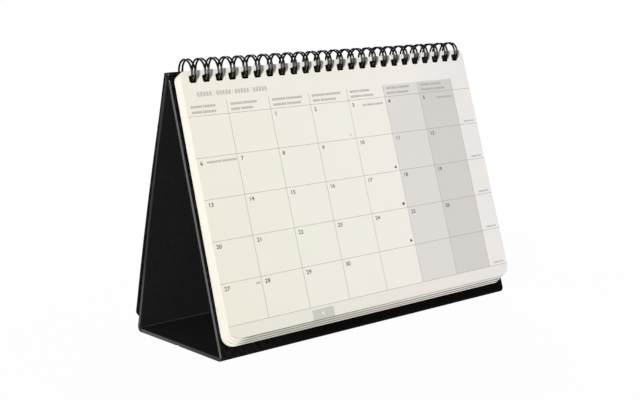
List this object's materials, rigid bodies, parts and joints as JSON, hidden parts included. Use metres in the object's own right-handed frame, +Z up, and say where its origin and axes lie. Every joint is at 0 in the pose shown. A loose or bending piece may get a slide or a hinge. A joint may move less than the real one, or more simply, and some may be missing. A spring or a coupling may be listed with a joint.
{
  "type": "planner pad",
  "caption": "Desk planner pad: month sheets hung on a twin-loop wire turn over the top of a folded easel of covered board, which stands them upright on a desk.",
  "frame": {"origin": "middle of the overall box, at the height of the desk that the base rests on", "axes": "+X along the wire, to the right for someone who reads the sheets; +Y to the back; +Z up"},
  "size_m": [0.2134, 0.1064, 0.1637],
  "materials": {
    "covered_board": "board covered in fine-grained black leatherette, satin",
    "paper": "uncoated cream paper, matt",
    "wire": "glossy black coating"
  },
  "bodies": {
    "stand": {"easel_stand": "covered_board", "wire_binding": "wire"},
    "pages": {"page_block": "paper"}
  },
  "joints": [
    {"name": "page_turn", "type": "hinge", "parent": "stand", "child": "pages", "pos_m": [0, -0.01304, 0.15615], "axis": [-1, 0, 0], "range_deg": [0, 190]}
  ]
}
